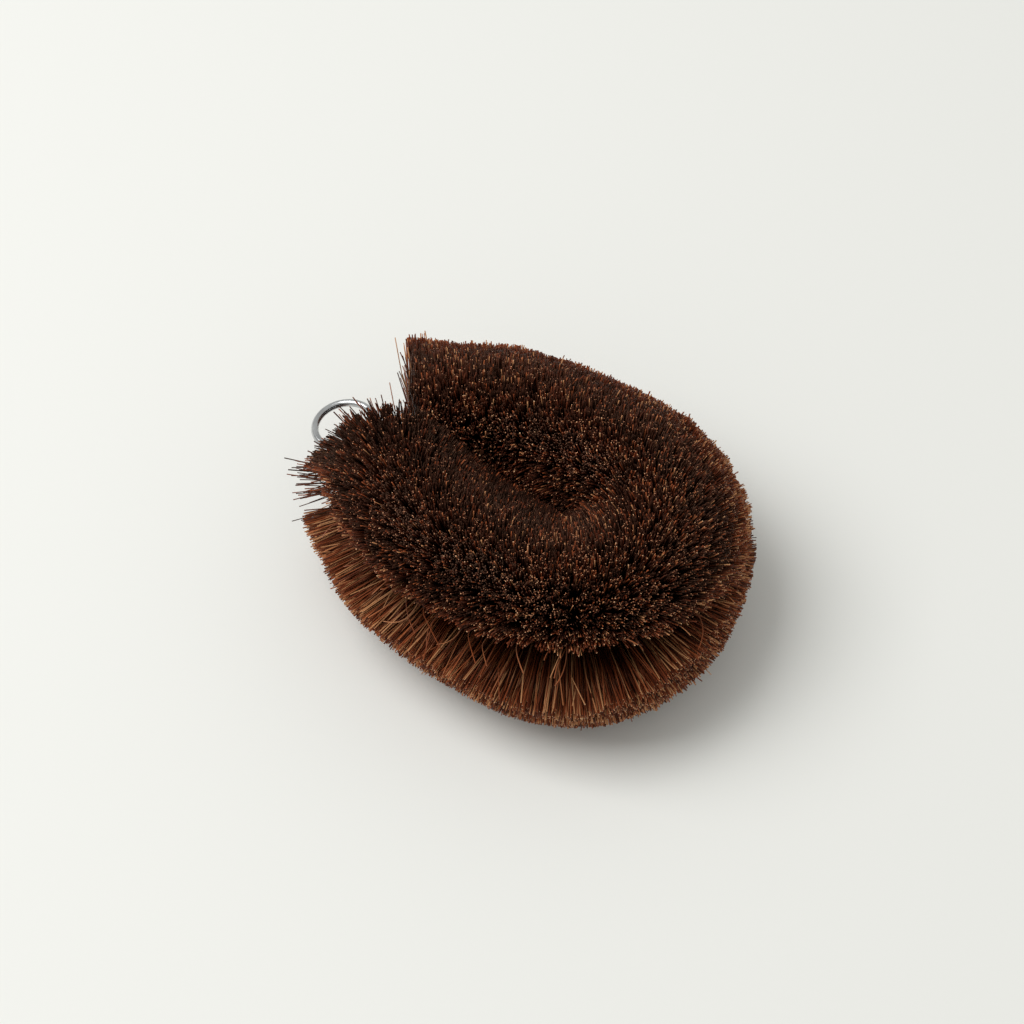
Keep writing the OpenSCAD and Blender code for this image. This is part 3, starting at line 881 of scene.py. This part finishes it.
def clear_of_ring(paths, *rest):
    """The same fibres without those that enter the ring's room. Each path is tested at ROOM_TESTS
    points, evenly along it: p_i + (p_i+1 - p_i) (t - i)."""
    t = np.linspace(0, paths.shape[1] - 1, ROOM_TESTS)
    i = np.minimum(t.astype(int), paths.shape[1] - 2)
    x, y, z = np.moveaxis(paths[:, i] + (paths[:, i + 1] - paths[:, i]) * (t - i)[:, None], -1, 0)
    clear = ~((x < ROOM_X) & (np.abs(y) < ROOM_HALF_Y) & (z < CORE_Z)).any(1)
    return tuple(a[clear] for a in (paths, *rest))


first_pile = pile(0, np.random.default_rng(SEED))
print("of the first bunch,", len(first_pile[0]) - len(clear_of_ring(*first_pile)[0]), "are left out")

# %% [markdown]
# ## The bunches as pieces
#
# All the fibres, some 94,000, could be one mesh, but with one piece for each CAD bunch the parts
# list stays, and no piece grows too heavy. Each bunch has a random generator of its own, seeded with
# its number, so a change to one bunch leaves the others as they are.


# %% Make the bunches
def bunch(n):
    """The fibres of bunch number n as one piece."""
    rng = np.random.default_rng([SEED, n])
    parts = [fibre_mesh(*clear_of_ring(*pile(n, rng)), rng)]
    if n < BUNCHES - TOE_BUNCHES:
        parts.append(fibre_mesh(*loose_hairs(n, rng), rng))
    if n in (0, BUNCHES - 1):
        parts.append(fibre_mesh(*clear_of_ring(*end_hairs(n, rng)), rng))
    points, triangles, smooth, uv = zip(*parts)
    starts = np.cumsum([0] + [len(p) for p in points[:-1]])
    triangles = np.concatenate([t + start for t, start in zip(triangles, starts)])
    piece = mesh_object(f"fibres_{n + 1}", np.concatenate(points), triangles, FIBRE,
                        np.concatenate(smooth), np.concatenate(uv))
    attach(piece, "brush")
    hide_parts(f"fibre_bunch_{n + 1}")
    return len(piece.data.polygons)


faces = [bunch(number) for number in range(BUNCHES)]
print(BUNCHES, "bunches,", sum(faces), "triangles, at most", max(faces), "a bunch")

# %% [markdown]
# ## Core wire
#
# One galvanised steel wire, folded in half. Its two legs run as a double helix round the path, the
# legs of both arms wind round each other in the neck, and the fold stays open as the eye for the
# ring. It could be bevelled curves, but their profile twists in tight turns. So the whole wire is one
# line of points, a formula for each stretch, end to end, along the CAD's line but smoother.

# %% Sizes of the wire
WIRE_D = 1.4 * MM
LEG_GAP = 0.5 * MM
LEG_R = (WIRE_D + LEG_GAP) / 2
NECK_LEN = 5.8 * MM
TAIL_SHARE = 0.5
EYE_INNER_R = 1.6 * MM
EYE_FLARE_R = 1.6 * MM
TURNS = 14
print("one turn of the twist:", round((S_END + 2 * BARE_LEN) / TURNS / MM, 2), "mm")


# %% The twisted legs and the neck
def twisted_leg(s, m):
    """Leg m of the helix: the path, plus a radius at the angle 90 + 360 TURNS s / length + 180 m.
    The radius opens from LEG_R to NECK_SIDE over the bare stretches."""
    turn_angle = math.pi * (0.5 + 2 * TURNS * (s + BARE_LEN) / (S_END + 2 * BARE_LEN) + m)
    opening = smoothstep(np.maximum(-s, s - S_END) / BARE_LEN)
    r = LEG_R + (NECK_SIDE - LEG_R) * opening
    return core(s) + scaled(scaled(outward(s), np.cos(turn_angle)) + scaled(UP, np.sin(turn_angle)), r)


def neck_point(t, start, off, apart):
    """Points of a pair of legs that winds half a turn about the neck's axis: at the angle a = start
    + 180 t, y = off cos(a) - apart sin(a) and z = off sin(a) + apart cos(a)."""
    a = start + math.pi * t
    return np.stack([NECK_X - NECK_LEN * t, off * np.cos(a) - apart * np.sin(a),
                     CORE_Z + off * np.sin(a) + apart * np.cos(a)], -1)


print("the neck runs from x =", round(NECK_X / MM, 1), "to", round((NECK_X - NECK_LEN) / MM, 1), "mm")

# %% Each leg from its tail to the eye
TAIL_POINTS = 16
POINTS_PER_TURN = 32
NECK_POINTS = 33


def leg(m):
    """Leg m from its cut tail, through the neck and all round the horseshoe to the eye."""
    up = 1 if m == 0 else -1
    tail = neck_point(TAIL_SHARE * np.linspace(1, 0, TAIL_POINTS, endpoint=False), 0, NECK_SIDE,
                      up * NECK_SIDE)
    s = np.linspace(S_END + BARE_LEN, -BARE_LEN, POINTS_PER_TURN * TURNS + 1)
    t = np.linspace(0, 1, NECK_POINTS)[1:-1]
    close = smoothstep((t - TAIL_SHARE) / (1 - TAIL_SHARE))
    to_eye = neck_point(t, math.pi, NECK_SIDE * (1 - close),
                        -up * (NECK_SIDE + (LEG_R - NECK_SIDE) * close))
    return np.concatenate([tail, twisted_leg(s, m), to_eye])


def eye_half(up):
    """Half of the eye on the side up: the flare's arc outwards, then the loop's arc to the fold."""
    eye_x, eye_r = NECK_X - NECK_LEN, EYE_INNER_R + WIRE_D / 2
    flare_dx = math.sqrt((eye_r + EYE_FLARE_R) ** 2 - (LEG_R + EYE_FLARE_R) ** 2)
    flare = math.atan2(LEG_R + EYE_FLARE_R, flare_dx)
    t = (math.pi / 2 - flare) * np.linspace(0, 1, 13)
    u = (math.pi - flare) * np.linspace(1, 0, 33)[1:]
    x = np.concatenate([eye_x - EYE_FLARE_R * np.sin(t), eye_x - flare_dx - eye_r * np.cos(u)])
    z = np.concatenate([LEG_R + EYE_FLARE_R * (1 - np.cos(t)), eye_r * np.sin(u)])
    return np.stack([x, np.zeros_like(x), CORE_Z + up * z], -1)


wire_line = np.concatenate([leg(0), eye_half(-1), eye_half(1)[-2::-1], leg(1)[::-1]])
wire_length = float(np.linalg.norm(np.diff(wire_line, axis=0), axis=1).sum())
print("wire:", len(wire_line), "points,", round(wire_length / MM), "mm long")

# %% [markdown]
# ## Galvanised steel
#
# Galvanised wire is drawn steel with a skin of zinc: matt light grey, with fine crystals that differ
# a little in shade and in gloss. A noise would blur them; Voronoi cells have their straight edges.
# Each crystal faces its own way, so the skin as a whole is a metal of middling roughness.

# %% Wire material and piece
# The zinc's crystals are too fine to show on a real wire, so they are drawn this wide
SPANGLE = 1.5 * MM
WIRE_SIDES = 12
galvanised, tree, bsdf = material("galvanised_steel", Metallic=1.0, Roughness=0.4)
spangle = add(tree, "ShaderNodeTexVoronoi", {
    "Vector": add(tree, "ShaderNodeTexCoord").outputs["Object"], "Scale": 1 / SPANGLE})
shade = add(tree, "ShaderNodeValToRGB", {"Fac": spangle.outputs["Color"]}, [
    (0.2, "#8e9092"), (0.8, "#b9bbbc")])
dull = add(tree, "ShaderNodeMapRange", {
    "Value": spangle.outputs["Color"], "To Min": 0.32, "To Max": 0.5})
tree.links.new(shade.outputs["Color"], bsdf.inputs["Base Color"])
tree.links.new(dull.outputs["Result"], bsdf.inputs["Roughness"])


def tube(path, radius, sides):
    """Points and triangles of a round tube along a line of points, closed at both ends: each ring is
    path + radius (normal cos t + (direction x normal) sin t).

    Each ring's normal is the last ring's, made square to the path again, so the tube has no twist.
    """
    n = len(path)
    direction = unit(np.gradient(path, axis=0))
    normal = unit(np.cross(direction[0], [0.1, 1, 0.2]))
    t = 2 * math.pi * np.arange(sides)[:, None] / sides
    rings = []
    for i in range(n):
        normal = unit(normal - (normal @ direction[i]) * direction[i])
        across = np.cross(direction[i], normal)
        rings.append(path[i] + radius * (normal * np.cos(t) + across * np.sin(t)))
    i, k = np.meshgrid(np.arange(n - 1), np.arange(sides), indexing="ij")
    p, q = i * sides + k, i * sides + (k + 1) % sides
    walls = np.concatenate([np.stack([p, q, q + sides], -1), np.stack([p, q + sides, p + sides], -1)])
    fan = np.arange(1, sides - 1)
    low = np.stack([np.zeros_like(fan), fan + 1, fan], -1)
    high = (n - 1) * sides + np.stack([np.zeros_like(fan), fan, fan + 1], -1)
    return np.concatenate(rings), np.concatenate([walls.reshape(-1, 3), low, high])


wire = mesh_object("twisted_wire", *tube(wire_line, WIRE_D / 2, WIRE_SIDES), galvanised)
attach(wire, "brush")
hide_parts("core_wire")
print("twisted wire:", len(wire.data.polygons), "triangles")

# %% [markdown]
# ## Polished steel ring
#
# The ring is bright steel wire, bent round, welded and turned smooth in a tumbler, which leaves a
# clear shine with faint unevenness. The CAD's ring is round enough to stay, so it only gets a
# material. Scratches would be too fine to see on wire of 1.8 mm; a soft noise of about 3 mm breaks
# up the reflections instead.

# %% Ring material
CLOUD = 3 * MM
polished, tree, bsdf = material("polished_steel", Metallic=1.0, Roughness=0.2)
cloud = add(tree, "ShaderNodeTexNoise", {
    "Vector": add(tree, "ShaderNodeTexCoord").outputs["Object"], "Scale": 1 / CLOUD, "Detail": 3.0})
tint = add(tree, "ShaderNodeValToRGB", {"Fac": cloud.outputs["Fac"]}, [
    (0.3, "#b4b5b6"), (0.7, "#d2d3d4")])
haze = add(tree, "ShaderNodeMapRange", {"Value": cloud.outputs["Fac"], "To Min": 0.12, "To Max": 0.3})
tree.links.new(tint.outputs["Color"], bsdf.inputs["Base Color"])
tree.links.new(haze.outputs["Result"], bsdf.inputs["Roughness"])
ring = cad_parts["hanging_ring"]
ring.data.materials.clear()
ring.data.materials.append(polished)

# %% [markdown]
# ## Floor and light
#
# The brush lies on a plain pale floor, under one large soft light from the left and a little light
# from all round. A smaller lamp would give hard shadows, and a stronger world would fill them all.

# %% Floor and world
FLOOR_HALF = 3.0
WORLD_STRENGTH = 0.6
floor_paint, tree, bsdf = material("pale_floor", Roughness=0.9)
bsdf.inputs["Base Color"].default_value = linear("#ebebe7")
floor_corners = FLOOR_HALF * np.array([[-1, -1, 0], [1, -1, 0], [1, 1, 0], [-1, 1, 0]])
floor = mesh_object("floor", floor_corners, np.array([[0, 1, 2], [0, 2, 3]]), floor_paint)

world = bpy.data.worlds.new("studio")
bpy.context.scene.world = world
world.use_nodes = True
background = world.node_tree.nodes["Background"]
background.inputs["Color"].default_value = linear("#f4f5f2")
background.inputs["Strength"].default_value = WORLD_STRENGTH
print("floor:", 2 * FLOOR_HALF, "m square; world strength", WORLD_STRENGTH)

# %% Soft light, turned to the brush
KEY_PLACE = (-0.61, -0.33, 1.13)
KEY_TARGET = (0, 0, 0.02)
KEY_SIZE = 0.95
KEY_POWER = 12.0

key_data = bpy.data.lights.new("key", "AREA")
key_data.size = KEY_SIZE
key_data.energy = KEY_POWER
key = bpy.data.objects.new("key", key_data)
key.location = KEY_PLACE
key.rotation_euler = (Vector(KEY_TARGET) - Vector(KEY_PLACE)).to_track_quat("-Z", "Y").to_euler()
bpy.context.scene.collection.objects.link(key)
print("key light:", KEY_POWER, "W,", round(Vector(KEY_PLACE).length, 2), "m from the brush")

# %% [markdown]
# ## Camera
#
# The camera looks at the brush's middle from about 34 degrees round and 55 degrees above, as the
# photo was taken. It stands square before the target, then turns up and left, which puts the target
# where it lies in the frame. A lens shift would do that too.

# %% Camera
AZIMUTH, ELEVATION = math.radians(33.6), math.radians(55.4)
PIXELS_PER_M = 4390.0
FRAME_PX = 1024
SENSOR_MM = 36.0
DISTANCE = 0.70
TARGET = Vector((CENTRE_SHIFT, 0, CORE_Z))
TARGET_PX = (568.7, 545.5)

right = Vector((math.cos(AZIMUTH), math.sin(AZIMUTH), 0))
back = Vector((math.sin(AZIMUTH) * math.cos(ELEVATION), -math.cos(AZIMUTH) * math.cos(ELEVATION),
               math.sin(ELEVATION)))
focal_px = PIXELS_PER_M * DISTANCE
aside = [math.atan((p - FRAME_PX / 2) / focal_px) for p in TARGET_PX]
square = Matrix((right, back.cross(right), back)).transposed()
look = square @ Euler((aside[1], aside[0], 0)).to_matrix()
camera_data = bpy.data.cameras.new("camera")
camera_data.sensor_width = SENSOR_MM
camera_data.lens = focal_px * camera_data.sensor_width / FRAME_PX
camera = bpy.data.objects.new("camera", camera_data)
camera.matrix_world = Matrix.Translation(TARGET + back * DISTANCE) @ look.to_4x4()
bpy.context.scene.collection.objects.link(camera)
bpy.context.scene.camera = camera
bpy.context.scene.view_settings.view_transform = "Standard"
print("lens:", round(camera_data.lens, 1), "mm at", DISTANCE, "m")
